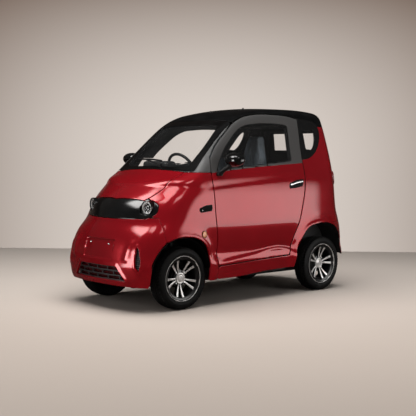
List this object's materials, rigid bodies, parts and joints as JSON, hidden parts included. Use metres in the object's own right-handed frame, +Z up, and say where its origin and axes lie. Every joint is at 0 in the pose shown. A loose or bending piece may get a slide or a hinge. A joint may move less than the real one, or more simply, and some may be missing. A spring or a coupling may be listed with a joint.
{
  "type": "microcar",
  "caption": "Short tall two-door microcar with a rounded hatchback body, black roof, opening doors, bonnet and tailgate, steered front wheels and alloy rims.",
  "frame": {"origin": "on the ground under the middle of the car", "axes": "+Z up, -Y towards the car's front, +X towards the car's left side"},
  "size_m": [1.564, 2.601, 1.7081],
  "materials": {
    "body_paint": "gloss",
    "gloss_black": "gloss",
    "matt_black": "matte",
    "grey_trim": "satin",
    "clear_glass": "gloss",
    "lamp_lens": "gloss",
    "red_lens": "gloss",
    "frame_steel": "satin",
    "floor_steel": "matte",
    "battery_case": "satin",
    "cabin_plastic": "matte",
    "seat_cloth": "matte",
    "tyre_rubber": "matte",
    "rim_alloy": "machined"
  },
  "bodies": {
    "body": {"chassis_frame": "frame_steel", "floor_pan": "floor_steel", "battery_box": "battery_case", "rear_axle": "frame_steel", "front_suspension": "frame_steel", "front_bumper": "body_paint", "lamp_band": "gloss_black", "headlamps": "lamp_lens", "lower_grille": "matt_black", "fender_left": "body_paint", "fender_right": "body_paint", "quarter_left": "body_paint", "quarter_right": "body_paint", "roof_panel": "gloss_black", "windshield_frame": "gloss_black", "pillar_trims": "grey_trim", "windshield": "clear_glass", "quarter_windows": "gloss_black", "rear_bumper": "body_paint", "tail_lamps": "red_lens", "wheel_liners": "matt_black", "dashboard": "cabin_plastic", "front_seats": "seat_cloth", "rear_seat": "seat_cloth", "wiper": "matt_black"},
    "door_left_body": {"door_left": "body_paint", "door_glass_left": "clear_glass", "mirror_left": "gloss_black"},
    "door_right_body": {"door_right": "body_paint", "door_glass_right": "clear_glass", "mirror_right": "gloss_black"},
    "hood_body": {"hood": "body_paint"},
    "tailgate_body": {"tailgate": "body_paint", "tailgate_glass": "clear_glass"},
    "knuckle_left_body": {"knuckle_left": "frame_steel"},
    "knuckle_right_body": {"knuckle_right": "frame_steel"},
    "wheel_front_left": {"tyre_front_left": "tyre_rubber", "rim_front_left": "rim_alloy"},
    "wheel_front_right": {"tyre_front_right": "tyre_rubber", "rim_front_right": "rim_alloy"},
    "wheel_rear_left": {"tyre_rear_left": "tyre_rubber", "rim_rear_left": "rim_alloy"},
    "wheel_rear_right": {"tyre_rear_right": "tyre_rubber", "rim_rear_right": "rim_alloy"},
    "steering_wheel_body": {"steering_wheel": "matt_black"}
  },
  "joints": [
    {"name": "steer_left", "type": "hinge", "parent": "body", "child": "knuckle_left_body", "pos_m": [0.378, -0.833, 0.255], "axis": [0, 0, 1], "range_deg": [-30, 30]},
    {"name": "steer_right", "type": "hinge", "parent": "body", "child": "knuckle_right_body", "pos_m": [-0.378, -0.833, 0.255], "axis": [0, 0, 1], "range_deg": [-30, 30]},
    {"name": "steering_turn", "type": "hinge", "parent": "body", "child": "steering_wheel_body", "pos_m": [-0.215, -0.182, 1.108], "axis": [0, 0.8988, 0.4384], "range_deg": [-240, 240]},
    {"name": "spin_front_left", "type": "hinge", "parent": "knuckle_left_body", "child": "wheel_front_left", "pos_m": [0.4785, -0.833, 0.255], "axis": [1, 0, 0], "continuous": true},
    {"name": "spin_front_right", "type": "hinge", "parent": "knuckle_right_body", "child": "wheel_front_right", "pos_m": [-0.4785, -0.833, 0.255], "axis": [1, 0, 0], "continuous": true},
    {"name": "spin_rear_left", "type": "hinge", "parent": "body", "child": "wheel_rear_left", "pos_m": [0.4785, 0.9095, 0.255], "axis": [1, 0, 0], "continuous": true},
    {"name": "spin_rear_right", "type": "hinge", "parent": "body", "child": "wheel_rear_right", "pos_m": [-0.4785, 0.9095, 0.255], "axis": [1, 0, 0], "continuous": true},
    {"name": "door_left_swing", "type": "hinge", "parent": "body", "child": "door_left_body", "pos_m": [0.585, -0.476, 0.5], "axis": [0.061, 0, -0.9981], "range_deg": [0, 65]},
    {"name": "door_right_swing", "type": "hinge", "parent": "body", "child": "door_right_body", "pos_m": [-0.585, -0.476, 0.5], "axis": [0.061, 0, 0.9981], "range_deg": [0, 65]},
    {"name": "hood_lift", "type": "hinge", "parent": "body", "child": "hood_body", "pos_m": [0, -0.715, 1.13], "axis": [-1, 0, 0], "range_deg": [0, 60]},
    {"name": "tailgate_lift", "type": "hinge", "parent": "body", "child": "tailgate_body", "pos_m": [0, 1.104, 1.527], "axis": [1, 0, 0], "range_deg": [0, 75]}
  ],
  "couplings": [
    {"joint": "steer_right", "follows": "steer_left", "ratio": 1},
    {"joint": "steering_turn", "follows": "steer_left", "ratio": 8}
  ]
}
